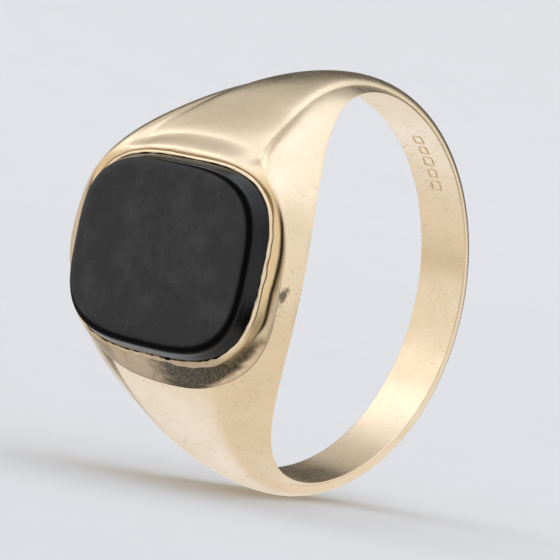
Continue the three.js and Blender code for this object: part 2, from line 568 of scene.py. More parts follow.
def shank_section(size: Any, share: Any, sine: Any) -> SimpleNamespace:
    """The body's section at one angle round the hole.

    Args:
        size: the shank's sizes, as numbers or as sockets.
        share: 1 at the middle of the head, falling to 0 at the back.
        sine: the sine of the angle.

    Returns:
        Half widths, radii and the cheek's bulge.
    """
    half_width = fade(size.back_half_width, size.head_half_width, size.width_fade, share)
    drop = sine * (size.profile_drop / 2)
    crease_x = half_width - fade(size.back_crease_inset, size.head_crease_inset, size.crease_fade, share)
    crease_r = size.bore_radius + fade(size.back_wall, size.head_wall, size.wall_fade, share) - drop
    crown_r = crease_r + fade(size.back_crown, size.head_crown, size.crown_fade, share) - drop
    bulge = size.cheek_bulge * share**size.bulge_fade * (sine * size.cheek_tilt + 1)
    return SimpleNamespace(
        half_width=half_width, crease_x=crease_x, crease_r=crease_r, crown_r=crown_r, bulge=bulge
    )


def cheek_radius(size: Any, section: SimpleNamespace, share: Any) -> Any:
    """Radius of the cheek, from the bore's edge at share 0 to the crease at share 1."""
    straight = size.bore_radius + (section.crease_r - size.bore_radius) * share
    return straight + section.bulge * 4 * share * (1 - share)


def roll_lift(size: Any, section: SimpleNamespace, share: Any, place: tuple, radius: Any) -> Any:
    """How much the body is raised where it rolls over to the collet, above the head's middle.

    Args:
        size: the shank's sizes, as numbers or as sockets.
        section: the body's section there.
        share: 1 at the middle of the head, falling to 0 at the back.
        place: x and z.
        radius: the radius without the roll.

    Returns:
        The added height.
    """
    x, z = place
    power = size.rim_roundness
    out = ((abs(x) / size.rim_half_x) ** power + (abs(z) / size.rim_half_z) ** power) ** (1 / power)
    beside = between(out, size.roll_spread + 1, 1.0) * between(z, *UPPER_SIDE)
    on_head = between(share, *HEAD_SHARES) * between(radius, size.bore_radius, section.crease_r)
    return size.roll_height * beside * on_head


@dataclass
class Shank:
    """The one-piece body: band, shoulders and cheeks, with the pocket for the collet cut in it.

    A size that begins with back_ holds at the back of the ring, head_ at the middle of the head, and the
    fade says how soon one turns into the other. The crease is the line between the dome and a cheek. The
    sizes that are 0 here are taken from the head and the CAD box.
    """

    head: Head
    back_half_width: float = 1.51
    head_half_width: float = 0.0
    width_fade: float = 3.57
    back_crease_inset: float = 0.18
    head_crease_inset: float = 3.2
    crease_fade: float = 3.04
    back_wall: float = 0.2
    head_wall: float = 0.0
    wall_fade: float = 4.4
    cheek_bulge: float = 0.75
    bulge_fade: float = 10.0
    cheek_tilt: float = 1.2
    back_crown: float = 1.07
    head_crown: float = 0.05
    crown_fade: float = 1.22
    dome_roundness: float = 2.05
    profile_drop: float = 0.1
    bore_radius: float = 0.0
    edge_rounding: float = 0.075
    rim_half_x: float = 0.0
    rim_half_z: float = 0.0
    rim_roundness: float = 0.0
    roll_height: float = 0.44
    roll_spread: float = 0.36
    steps_round: int = 416
    steps_across: int = 208
    steps_drawn: int = 720
    steps_pocket: int = 512
    bore_part: ClassVar[float] = 0.16
    dome_part: ClassVar[float] = 0.55
    height_tries: int = 40
    blur_rounds: int = 4

    def __post_init__(self) -> None:
        """Takes what it can from the head and the CAD box."""
        self.bore_radius = self.head.bore_radius
        self.head_half_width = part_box("ring_body")[1].x / MM
        self.head_wall = self.head.lip_height - self.bore_radius + self.head.crease_over_lip
        rim = self.head.rim
        self.rim_half_x, self.rim_half_z, self.rim_roundness = rim.half_x, rim.half_z, rim.roundness

    def sizes(self) -> dict[str, float]:
        """The sizes that the geometry tree has as inputs."""
        return {f.name: getattr(self, f.name) for f in fields(self) if f.type is float}

    def height(self, x: np.ndarray, z: np.ndarray) -> np.ndarray:
        """Finds the body's outside on the head by trying heights until they settle.

        Args:
            x: places on the head.
            z: the same.

        Returns:
            The height over the hole's axis.
        """
        radius = np.full_like(x, self.bore_radius)
        out = np.abs(x)
        for _ in range(self.height_tries):
            sine = np.clip(z / radius, -1, 1)
            share = (1 + np.sqrt(1 - sine * sine)) / 2
            section = shank_section(self, share, sine)
            across = section.half_width - section.crease_x
            cheek = cheek_radius(self, section, np.maximum(0, (section.half_width - out) / across))
            rise = np.maximum(0, 1 - (out / section.crease_x) ** 2) ** (1 / self.dome_roundness)
            dome = section.crease_r + (section.crown_r - section.crease_r) * rise
            radius = (radius + np.where(out < section.crease_x, dome, cheek)) / 2
        return np.sqrt(radius * radius - z * z) + roll_lift(self, section, share, (x, z), radius)

    def blank(self, material: bpy.types.Material) -> bpy.types.Object:
        """Makes the body before the pocket is cut, with a geometry tree.

        Each section is drawn as a closed curve, shared out evenly and softened at its edges, and a grid
        is then stretched over all of them.

        Args:
            material: the gold.

        Returns:
            The body as a plain mesh.
        """
        graph = GeometryGraph("ring_body", self.sizes())
        size, drawn = graph.inputs, self.steps_drawn
        point = graph.add("GeometryNodeInputIndex")
        turn = (point / drawn).floor()
        place = self._drawn_place(graph, size, turn * (TAU / self.steps_round), (point % drawn) / drawn)
        cloud = graph.add("GeometryNodePoints", None, [self.steps_round * drawn, place])
        curves = graph.add("GeometryNodePointsToCurves", None, [cloud, turn, point])
        loops = graph.add("GeometryNodeSetSplineCyclic", None, {"Geometry": curves, "Cyclic": True})
        even = graph.add("GeometryNodeResampleCurve", None, {"Curve": loops, "Count": self.steps_across})
        here = graph.add("GeometryNodeInputPosition")
        step = graph.add("GeometryNodeSplineLength") / self.steps_across
        pull = (size.edge_rounding / step) ** 2 / (2 * self.blur_rounds)
        blur = [here, self.blur_rounds, pull.low(1.0)]
        soft = graph.add("GeometryNodeBlurAttribute", {"data_type": "FLOAT_VECTOR"}, blur)
        eased = graph.moved(even, soft)
        squares = [1.0, 1.0, self.steps_round + 1, self.steps_across + 1]
        grid = graph.add("GeometryNodeMeshGrid", None, squares)
        x, y, _ = graph.parts(here)
        row = ((x + 0.5) * self.steps_round + 0.5).floor() % self.steps_round
        column = ((y + 0.5) * self.steps_across + 0.5).floor() % self.steps_across
        spot = graph.add(
            "GeometryNodeSampleIndex",
            {"data_type": "FLOAT_VECTOR", "domain": "POINT"},
            {"Geometry": eased, "Value": here, "Index": row * self.steps_across + column},
        )
        sheet = graph.moved(grid, graph.stretch(spot, (MM,) * 3))
        closed = graph.add("GeometryNodeMergeByDistance", None, {"Geometry": sheet, "Distance": MM * 1e-3})
        outward = graph.add("GeometryNodeFlipFaces", None, [closed])
        return graph.make("shank_and_shoulders", outward, material)

    def _drawn_place(self, graph: GeometryGraph, size: Any, angle: Sock, share: Sock) -> Sock:
        """A point of the section's loop.

        Args:
            graph: the tree.
            size: the sizes.
            angle: the angle round the hole.
            share: how far round the loop the point is, from the bore's +X edge along the bore, up the
                -X cheek, over the dome and down the +X cheek.

        Returns:
            The point, in millimetres.
        """
        bore_part, dome_part = self.bore_part, self.dome_part
        cosine, sine = angle.cos(), angle.sin()
        head_share = ((cosine + 1) / 2).high(1e-9)
        section = shank_section(size, head_share, sine)
        along = (share - bore_part) * (2 / (1 - bore_part)) - 1
        out = abs(along)
        swing = out.low(dome_part) * (math.pi / 2 / dome_part)
        dome_x = section.crease_x * swing.sin()
        rise = swing.cos().high(0.0) ** (2 / size.dome_roundness)
        dome_r = section.crease_r + (section.crown_r - section.crease_r) * rise
        climb = (1 - out) / (1 - dome_part)
        cheek_x = section.half_width + (section.crease_x - section.half_width) * climb
        cheek_r = cheek_radius(size, section, climb)
        on_cheek, on_bore = out.above(dome_part), share.below(bore_part)
        outer_x = along.sign() * (dome_x + (cheek_x - dome_x) * on_cheek)
        outer_r = dome_r + (cheek_r - dome_r) * on_cheek
        lift = roll_lift(size, section, head_share, (outer_x, outer_r * sine), outer_r)
        bore_x = section.half_width * (1 - share * (2 / bore_part))
        x = outer_x + (bore_x - outer_x) * on_bore
        r = outer_r + (size.bore_radius - outer_r) * on_bore
        return graph.vector(x, -(r * cosine + lift * (1 - on_bore)), r * sine)

    def build(self, material: bpy.types.Material) -> bpy.types.Object:
        """Makes the body and cuts the pocket.

        Args:
            material: the gold.

        Returns:
            The finished piece.
        """
        body = self.blank(material)
        tree, normals = surface_of(body)
        turns = np.linspace(0, TAU, self.steps_pocket, endpoint=False)
        outline = self.head.rim.grown(self.head.seat_gap)
        floor, top = self.bore_radius / 2, self.head.table + self.head_wall
        rings = [(None, floor), (outline, floor), (outline, top), (None, top)]
        cutter = closed_grid("pocket", loft(turns, rings), False)
        weld(cutter)
        modifier = body.modifiers.new("pocket", "BOOLEAN")
        modifier.operation, modifier.solver, modifier.object = "DIFFERENCE", "MANIFOLD", cutter
        cut = plain_mesh(body)
        body.modifiers.clear()
        body.data = cut
        bpy.data.objects.remove(cutter)
        keep_shading(body, tree, normals)
        dress(body, material, Slot.POLISHED_GOLD, "ring_body")
        return body


def surface_of(piece: bpy.types.Object) -> tuple[BVHTree, tuple]:
    """Keeps a mesh's surface and its smooth normals, to shade a cut copy with.

    Args:
        piece: the uncut piece.

    Returns:
        Its surface as a tree, and its points, triangles and normals.
    """
    mesh = piece.data
    mesh.calc_loop_triangles()
    points = [v.co.copy() for v in mesh.vertices]
    triangles = [tuple(t.vertices) for t in mesh.loop_triangles]
    normals = [n.vector.copy() for n in mesh.vertex_normals]
    return BVHTree.FromPolygons(points, triangles), (points, triangles, normals)


def keep_shading(piece: bpy.types.Object, tree: BVHTree, kept: tuple) -> None:
    """Shades a cut mesh as the uncut one was, and the cut's own faces flat.

    Args:
        piece: the cut mesh.
        tree: the uncut surface.
        kept: its points, triangles and normals.
    """
    points, triangles, normals = kept
    mesh = piece.data
    mesh.shade_smooth()
    smooth_normals = []
    for vertex in mesh.vertices:
        place, _, face, _ = tree.find_nearest(vertex.co)
        weights = barycentric(place, *(points[i] for i in triangles[face]))
        total = sum((normals[i] * w for i, w in zip(triangles[face], weights)), Vector())
        smooth_normals.append(total.normalized())
    corners = []
    for polygon in mesh.polygons:
        for index in polygon.vertices:
            shade = smooth_normals[index]
            same_side = shade.dot(polygon.normal) > SAME_SIDE
            corners.append(shade if same_side else polygon.normal.copy())
    mesh.normals_split_custom_set(corners)


def barycentric(place: Vector, a: Vector, b: Vector, c: Vector) -> tuple[float, float, float]:
    """Finds how near a place on a triangle is to each of its corners.

    Args:
        place: the place.
        a: the first corner.
        b: the second corner.
        c: the third corner.

    Returns:
        The corners' weights, which add up to 1.
    """
    across, along, to = b - a, c - a, place - a
    aa, ab, bb = across.dot(across), across.dot(along), along.dot(along)
    ta, tb = to.dot(across), to.dot(along)
    area = max(aa * bb - ab * ab, 1e-30)
    second, third = (bb * ta - ab * tb) / area, (aa * tb - ab * ta) / area
    return 1 - second - third, second, third


# ---- Setting ----


class CupRings:
    """The collet's rings of points, and what its gold reads at each point."""

    def __init__(self) -> None:
        """Starts with no rings."""
        self.columns: list[np.ndarray] = []
        self.grime: list[np.ndarray] = []
        self.yellow: list[np.ndarray] = []

    def add(self, x: np.ndarray, z: np.ndarray, height: Any, dirt: Any, band: Any = 0.0) -> None:
        """Adds one ring.

        Args:
            x: the ring's places on the head.
            z: the same.
            height: its height over the hole's axis.
            dirt: how much grime and painted shade it has.
            band: how much of the cup's yellower gold it shows.
        """
        self.columns.append(np.stack([x, -(height + 0 * x), z], -1))
        self.grime.append(dirt + 0 * x)
        self.yellow.append(band + 0 * x)

    def piece(self, name: str) -> bpy.types.Object:
        """Joins the rings.

        Args:
            name: the piece's name.

        Returns:
            The piece, with its grime and painted shade and its yellower gold stored on its points.
        """
        made = closed_grid(name, np.stack(self.columns, 1))
        paint(made, "grime", np.stack(self.grime, 1))
        paint(made, "cup_gold", np.stack(self.yellow, 1))
        return made


@dataclass
class Collet:
    """The gold cup that holds the stone, with its edge rubbed over.

    Its outside starts at the seam with the body, dips into a groove beside the shoulders' edges, and rises
    to the lip. Above the stone the seam is hidden: the body rolls over into the lip without a step.
    """

    head: Head
    shank: Shank
    reveal: float = 0.03
    fold: float = 0.08
    foot_rounding: float = 0.03
    valley_depth: float = 0.3
    valley_reach: float = 0.5
    lower_swell: float = 0.05
    roll_over: float = 0.55
    lip_thinning: float = 0.02
    lip_step: float = 0.07
    lip_wander: float = 0.1
    lip_calm: float = 0.6
    lip_press: float = 0.16
    press_angle: float = math.radians(-35)
    look_ahead: float = 0.02
    smooth_degrees: float = 50.0
    steps: int = 720
    steps_foot: int = 5
    steps_groove: int = 14
    steps_slope: int = 24
    steps_lip: int = 10

    def valley(self, x: np.ndarray, z: np.ndarray) -> tuple[np.ndarray, np.ndarray]:
        """Finds the groove beside the shoulders' edges.

        Args:
            x: places on the seam.
            z: the same.

        Returns:
            How strong the groove is there, and its distance in from the seam.
        """
        lower, upper = smooth(z, -3.6, -2.2), 1 - smooth(z, 2.2, 4.4)
        beside = smooth(np.abs(x), 4.6, 6.0)
        reach = 1.0 - 0.4 * smooth(z, -1.8, 1.8) - 0.4 * smooth(z, 1.2, 4.0)
        return lower * upper * beside, self.valley_reach * reach

    def outlines(self) -> SimpleNamespace:
        """Finds the lines that the rings run between.

        Returns:
            Arrays with one value for each angle: the seam's and the lip's places and heights, the width
            between them, the body's climb at the seam, the groove, and how far above the stone it is.
        """
        head, turns = self.head, np.linspace(0, TAU, self.steps, endpoint=False)
        rim_x, rim_z = head.rim.grown(head.seat_gap * 0.9).points(turns)
        above = smooth(rim_z, *UPPER_SIDE)
        at_rim = self.shank.height(rim_x, rim_z)
        seam = soften(at_rim, 5) + self.reveal * (1 - above)
        calm = 1 - self.lip_calm * smooth(np.sin(turns), 0.1, 0.6)
        uneven_width = wander(turns, 3, range(6, 50), self.lip_wander / 2) * calm
        lip_width = head.lip_width - self.lip_thinning + uneven_width
        edge_x, edge_z = head.lip.grown(lip_width).points(turns)
        press = self.lip_press * np.maximum(0, np.cos(turns - self.press_angle)) ** 3
        uneven_edge = wander(turns, 5, range(3, 40), self.lip_wander / 3)
        edge = head.lip_height - head.lip_drop + press + uneven_edge
        width = np.hypot(rim_x - edge_x, rim_z - edge_z)
        strength, reach = self.valley(rim_x, rim_z)
        step = self.look_ahead / width
        ahead = self.shank.height(rim_x + (edge_x - rim_x) * step, rim_z + (edge_z - rim_z) * step)
        return SimpleNamespace(
            turns=turns,
            rim=(rim_x, rim_z),
            seam=seam,
            edge=(edge_x, edge_z),
            edge_height=edge,
            width=width,
            climb=soften((ahead - at_rim) / step, 12),
            above=above,
            press=press,
            strength=strength,
            bottom=np.minimum(reach, width * 0.6) / width,
            line=np.maximum(strength, above * 0.6),
        )

    def build(self, material: bpy.types.Material) -> bpy.types.Object:
        """Makes the collet as rings from its foot, over the slope and the lip, and down inside.

        Args:
            material: the gold.

        Returns:
            The finished piece.
        """
        rings, at = CupRings(), self.outlines()
        self._foot(rings, at)
        self._slope(rings, at)
        self._lip(rings, at)
        piece = rings.piece("rubbed_collet")
        sharpen(piece, self.smooth_degrees)
        dress(piece, material, Slot.COLLET_GOLD, "bezel_collet")
        return piece

    def _foot(self, rings: CupRings, at: SimpleNamespace) -> None:
        """Adds the hidden wall under the seam and the small rounding on it.

        Args:
            rings: the rings so far.
            at: the outlines.
        """
        bare = 1 - at.above
        # Grime and painted shade: the hidden wall is fully dark, and the seam's rounding is darkest at the
        # seam, where shade falls between the parts.
        rings.add(*at.rim, on_cylinder(self.head.bearer_foot)(*at.rim), 1.0)
        rings.add(*at.rim, at.seam - self.fold, 1.0)
        rounding = self.foot_rounding * bare
        for swing in np.linspace(0, math.pi / 2, self.steps_foot):
            x, z = toward(at.rim, at.edge, rounding * (1 - math.cos(swing)) / at.width)
            dirt = (0.75 - 0.45 * math.sin(swing)) * bare
            rings.add(x, z, at.seam - rounding * (1 - math.sin(swing)), dirt)

    def _slope(self, rings: CupRings, at: SimpleNamespace) -> None:
        """Adds the groove and the slope up to the lip.

        Args:
            rings: the rings so far.
            at: the outlines.
        """
        start = self.foot_rounding * (1 - at.above) / at.width
        depth = self.valley_depth * at.strength
        for k in range(1, self.steps_groove + 1):
            part = k / self.steps_groove
            # Grime and painted shade in the groove, darkest at its bottom and beside the seam.
            dirt = at.strength * (0.25 + 0.75 * part**7) + 0.2 * (1 - at.above) * (1 - part) ** 4
            share = start + (at.bottom - start) * part
            rings.add(*toward(at.rim, at.edge, share), self._level(at, share) - depth * part**1.2, dirt)
        on_side = smooth(np.abs(at.rim[0]), 4.0, 5.6)
        for k in range(1, self.steps_slope + 1):
            part = k / self.steps_slope
            # Grime and painted shade at the groove's bottom and in a dark line under the lip's step.
            dirt = 1.4 * at.strength * smooth(part, 0.36, 0.04) + 0.9 * at.line * smooth(part, 0.88, 1.0)
            fall = depth * (1 - part) ** 1.1 + self.lip_step * at.line * smooth(part, 0.85, 1.0)
            share = at.bottom + (1 - at.bottom) * part
            height = self._level(at, share) - fall
            rings.add(*toward(at.rim, at.edge, share), height, dirt, on_side * (1 - part**8))

    def _level(self, at: SimpleNamespace, share: np.ndarray) -> np.ndarray:
        """Finds the slope's height before the groove is cut.

        Args:
            at: the outlines.
            share: how far in from the seam to the lip.

        Returns:
            The height over the hole's axis.
        """
        rise = at.edge_height - at.seam
        lower = at.seam + rise * share + 4 * self.lower_swell * share * (1 - share)
        upper = at.seam + rise * (share * share * (3 - 2 * share)) + at.climb * share * (1 - share) ** 2
        upper = upper + self.roll_over * at.width * share * share * (1 - share)
        return lower + (upper - lower) * at.above

    def _lip(self, rings: CupRings, at: SimpleNamespace) -> None:
        """Adds the uneven lip and the inside down to the foot.

        Args:
            rings: the rings so far.
            at: the outlines.
        """
        head, calm = self.head, 1 - self.lip_calm * at.above
        uneven = (wander(at.turns, 8, range(10, 60), 0.5) - 0.5) * self.lip_wander * calm
        crest = head.lip_height + at.press + uneven
        inner_height = head.lip_height - head.lip_drop / 2 + at.press
        creep = np.abs(wander(at.turns, 11, range(9, 48), self.lip_wander * 0.7)) * calm
        inner = head.flank(inner_height).grown(head.seat_gap * 0.8).grown(creep).points(at.turns)
        for k in range(1, self.steps_lip + 1):
            swing = math.pi * k / self.steps_lip
            share = (1 - math.cos(swing)) / 2
            base = at.edge_height + (inner_height - at.edge_height) * share
            top = base + (crest - (at.edge_height + inner_height) / 2) * math.sin(swing)
            # A little grime and painted shade on the lip's outer foot beside the groove.
            rings.add(*toward(at.edge, inner, share), top, 0.25 * at.strength * (1 - math.sin(swing)))
        seat = head.girdle.grown(head.seat_gap).points(at.turns)
        # The inside walls round the stone are painted fully dark: grime and painted shade in the gap.
        rings.add(*inner, inner_height - 0.05, 1.0)
        rings.add(*seat, head.girdle_top, 1.0)
        rings.add(*seat, on_cylinder(head.bearer_foot)(*seat), 1.0)


@dataclass
class Stone:
    """The onyx: a flat matte table with polished sides, held by its girdle."""

    head: Head
    table_dome: float = 0.02
    flank_swell: float = 0.027
    edge_reach: float = 1.95
    back_shares: tuple[float, ...] = (0.5, 0.25, 0)
    table_shares: tuple[float, ...] = (0.06, 0.15, 0.3, 0.45, 0.6, 0.75, 0.9)
    smooth_degrees: float = 60.0
    steps: int = 480
    steps_flank: int = 16
    steps_edge: int = 24

    def build(self, material: bpy.types.Material) -> bpy.types.Object:
        """Makes the stone as rings from the middle of its back to the middle of its table.

        Args:
            material: the onyx.

        Returns:
            The finished piece.
        """
        head = self.head
        back, bevel = head.stone_back, head.stone_bevel
        small = head.girdle.grown(-bevel)
        rings = [(None, back)]
        rings += [(small.grown(-head.girdle.half_z * share), back) for share in self.back_shares]
        rings += [(head.girdle, back + bevel), (head.girdle, head.girdle_top)]
        shoulder = head.table - head.table_edge
        for k in range(1, self.steps_flank + 1):
            height = head.girdle_top + (shoulder - head.girdle_top) * k / self.steps_flank
            swell = self.flank_swell * math.sin(math.pi * k / self.steps_flank)
            rings.append((head.flank(height).grown(swell), height))
        edge, inset = head.flank(shoulder), head.table_edge * self.edge_reach
        for k in range(1, self.steps_edge + 1):
            swing = math.pi / 2 * k / self.steps_edge
            rise = (head.table_edge - self.table_dome) * math.sin(swing)
            rings.append((edge.grown(-inset * (1 - math.cos(swing))), shoulder + rise))
        flat = edge.grown(-inset)
        for share in self.table_shares:
            smaller = Cushion(flat.half_x * (1 - share), flat.half_z * (1 - share), flat.roundness)
            rings.append((smaller, head.table - self.table_dome * (1 - share) ** 2))
        rings.append((None, head.table))
        turns = np.linspace(0, TAU, self.steps, endpoint=False)
        piece = closed_grid("cushion_onyx", loft(turns, rings), False)
        weld(piece)
        sharpen(piece, self.smooth_degrees)
        dress(piece, material, Slot.ONYX, "onyx_stone")
        return piece


@dataclass
class Seat:
    """What the stone sits on: the bearer inside the collet and the cement between the two."""

    head: Head
    edge_ease: float = 0.03
    bead_radius: float = 0.052
    bead_roughness: float = 0.02
    bed_half_width: float = 0.9
    bed_half_thickness: float = 0.025
    bed_setback: float = 0.12
    smooth_degrees: float = 40.0
    steps: int = 360
    steps_section: int = 12

    def build_bearer(self, material: bpy.types.Material) -> bpy.types.Object:
        """Makes the bearer, a ledge with the window in its middle.

        Args:
            material: the gold.

        Returns:
            The finished piece.
        """
        head, turns = self.head, np.linspace(0, TAU, self.steps, endpoint=False)
        outside, foot, ease = head.girdle, on_cylinder(head.bearer_foot), self.edge_ease
        rings = [
            (head.window, foot),
            (outside, foot),
            (outside, head.bearer_top),
            (head.window.grown(2 * ease), head.bearer_top),
            (head.window.grown(0.6 * ease), head.bearer_top - 0.6 * ease),
            (head.window, head.bearer_top - 2 * ease),
        ]
        piece = closed_grid("stone_ledge", loft(turns, rings))
        sharpen(piece, self.smooth_degrees)
        dress(piece, material, Slot.INNER_GOLD, "stone_bearer")
        return piece

    def build_cement(self, material: bpy.types.Material) -> bpy.types.Object:
        """Makes the cement: a thin bed under the stone and the bead squeezed out round the window.

        Args:
            material: the cement.

        Returns:
            The finished piece.
        """
        head = self.head
        sizes = {
            "window_x": head.window.half_x,
            "window_z": head.window.half_z,
            "roundness": head.window.roundness,
            "height": (head.bearer_top + head.stone_back) / 2,
            "bead_radius": self.bead_radius,
            "bed_half_width": self.bed_half_width,
        }
        graph = GeometryGraph("cement_bed", sizes)
        size = graph.inputs
        bead = self._sweep(graph, size, 0.0, size.bead_radius, size.bead_radius, self.bead_roughness)
        reach = size.bed_half_width + self.bed_setback
        bed = self._sweep(graph, size, reach, size.bed_half_width, self.bed_half_thickness, 0.0)
        joined = graph.add("GeometryNodeJoinGeometry")
        for part in (bed, bead):
            graph.tree.links.new(part.socket, joined.socket.node.inputs[0])
        smooth_faces = graph.add("GeometryNodeSetShadeSmooth", None, [joined])
        piece = graph.make("cement_bead", smooth_faces, material)
        dress(piece, material, Slot.CEMENT, "cement_bed")
        return piece

    def _sweep(
        self, graph: GeometryGraph, size: Any, out: Any, wide: Any, thick: Any, rough: float
    ) -> Sock:
        """Sweeps an oval along the window's outline.

        Args:
            graph: the tree.
            size: its inputs.
            out: how far outside the window the sweep's middle runs.
            wide: half its width.
            thick: half its thickness.
            rough: how uneven its surface is.

        Returns:
            The mesh, in metres.
        """
        path = graph.add("GeometryNodeCurvePrimitiveCircle", None, {"Resolution": self.steps})
        turn = graph.add("GeometryNodeInputIndex") * (TAU / self.steps)
        half_x, half_z = size.window_x + out, size.window_z + out
        power = size.roundness
        c, s = turn.cos(), turn.sin()
        reach = (abs(c / half_x) ** power + abs(s / half_z) ** power) ** (-1 / power)
        outline = graph.moved(path, graph.vector(reach * c, reach * s, 0.0))
        oval = graph.add("GeometryNodeCurvePrimitiveCircle", None, {"Resolution": self.steps_section})
        here = graph.add("GeometryNodeInputPosition")
        x, y, z = graph.parts(here)
        section = graph.moved(oval, graph.vector(x * wide, y * thick, 0.0))
        swept = graph.add("GeometryNodeCurveToMesh", None, {"Curve": outline, "Profile Curve": section})
        lift = (graph.noise(here, 3.0, 2.0) - 0.5) * (2 * rough)
        uneven = graph.moved(swept, graph.vector(x * (1 - lift), y * (1 - lift), z))
        return graph.moved(uneven, graph.vector(x * MM, (z + size.height) * -MM, y * MM))


@dataclass
class Gallery:
    """The thin plate that closes the head from inside, flush with the bore, with the window in it."""

    head: Head
    edge_ease: float = 0.05
    smooth_degrees: float = 60.0
    steps: int = 480
    steps_across: int = 24

    def build(self, material: bpy.types.Material) -> bpy.types.Object:
        """Makes the plate as rings from the window's edge outwards.

        Args:
            material: the gold.

        Returns:
            The finished piece.
        """
        head, turns = self.head, np.linspace(0, TAU, self.steps, endpoint=False)
        inner, outer, ease = head.bore_radius, head.gallery_radius, self.edge_ease
        window, rim = head.window, head.rim
        start, end = window.grown(2 * ease), rim.grown(-ease / 2)
        rings = [(window, inner + 2 * ease), (window.grown(ease), inner + ease / 2)]
        for k in range(self.steps_across + 1):
            rings.append((start.toward(end, k / self.steps_across), inner))
        rings += [(rim, inner + ease / 2), (rim, outer), (window, outer)]
        rings = [(outline, on_cylinder(radius)) for outline, radius in rings]
        piece = closed_grid("inner_plate", loft(turns, rings))
        sharpen(piece, self.smooth_degrees)
        dress(piece, material, Slot.INNER_GOLD, "gallery_plate")
        return piece


@dataclass
class StruckMarks:
    """A row of plain struck frames inside the shank, where a maker strikes the metal's standard."""

    bore_radius: float
    count: int = 5
    middle_angle: float = math.radians(134)
    pitch: float = math.radians(4.4)
    frame_width: float = 0.5
    frame_height: float = 0.56
    burr: float = 0.034
    proud: float = 0.012
    strike_sizes: tuple[float, float] = (0.86, 1.08)
    seed: int = 4
    steps_corner: int = 4
    steps_section: int = 6

    def build(self, material: bpy.types.Material) -> bpy.types.Object:
        """Makes the frames with a geometry tree, one instance for each strike.

        Args:
            material: the gold.

        Returns:
            The finished piece.
        """
        sizes = {
            "bore_radius": self.bore_radius - self.proud,
            "middle_angle": self.middle_angle,
            "pitch": self.pitch,
            "frame_width": self.frame_width,
            "frame_height": self.frame_height,
            "burr": self.burr,
        }
        graph = GeometryGraph("struck_marks", sizes)
        size = graph.inputs
        sides = {0: size.frame_height, 1: size.frame_width}
        oblong = graph.add("GeometryNodeCurvePrimitiveQuadrilateral", {"mode": "RECTANGLE"}, sides)
        corners = {"Curve": oblong, "Count": self.steps_corner, "Radius": size.burr * 2}
        rounded = graph.add("GeometryNodeFilletCurve", {"mode": "POLY"}, corners)
        section = {"Resolution": self.steps_section, "Radius": size.burr}
        wire = graph.add("GeometryNodeCurvePrimitiveCircle", None, section)
        burr = graph.add("GeometryNodeCurveToMesh", None, {"Curve": rounded, "Profile Curve": wire})
        index = graph.add("GeometryNodeInputIndex")
        angle = size.middle_angle + (index - (self.count - 1) / 2) * size.pitch
        place = graph.vector(0.0, -(size.bore_radius * angle.cos()), size.bore_radius * angle.sin())
        spots = graph.add("GeometryNodePoints", None, [self.count, place])
        tilt = graph.vector(math.pi / 2 - angle, 0.0, 0.0)
        least, most = self.strike_sizes
        chance = {2: least, 3: most, 8: self.seed}
        scale = graph.add("FunctionNodeRandomValue", {"data_type": "FLOAT"}, chance, 1)
        strikes = {
            "Points": spots,
            "Instance": burr,
            "Rotation": graph.add("FunctionNodeEulerToRotation", None, [tilt]),
            "Scale": graph.vector(scale, scale, 1.0),
        }
        struck = graph.add("GeometryNodeInstanceOnPoints", None, strikes)
        real = graph.add("GeometryNodeRealizeInstances", None, [struck])
        here = graph.add("GeometryNodeInputPosition")
        placed = graph.moved(real, graph.stretch(here, (MM,) * 3))
        soft = graph.add("GeometryNodeSetShadeSmooth", None, [placed])
        piece = graph.make("struck_marks", soft, material)
        dress(piece, material, Slot.POLISHED_GOLD)
        return piece


# ---- Finishes ----


def material_graph(name: str) -> tuple[bpy.types.Material, Graph]:
    """Makes an empty node material.

    Args:
        name: the material's name.

    Returns:
        The material and its tree.
    """
    material = bpy.data.materials.new(name)
    material.use_nodes = True
    return material, Graph(material.node_tree)


def finish_surface(graph: Graph, values: dict, height: Sock | None = None, depth: float = 0.0) -> None:
    """Ends a material in a Principled shader, with a bump if a height is given.

    Args:
        graph: the material's tree.
        values: the shader's sockets.
        height: the bump's height.
        depth: how deep the bump is, in millimetres.
    """
    if height is not None:
        bump = {"Strength": 1.0, "Distance": depth * MM, "Height": height}
        values = {**values, "Normal": graph.add("ShaderNodeBump", None, bump)}
    shader = graph.add("ShaderNodeBsdfPrincipled", None, values)
    graph.node("ShaderNodeOutputMaterial", None, [shader])


def millimetres(graph: Graph) -> Sock:
    """Object coordinates in millimetres."""
    place = graph.add("ShaderNodeTexCoord", None, None, "Object")
    return graph.stretch(place, (1 / MM,) * 3)


@dataclass(frozen=True)
class Wear:
    """Marks of wear on a gold surface: depths in millimetres, and shares from 0 to 1."""

    scratches: float = 0.0012
    pits: float = 0.003
    waviness: float = 0.02


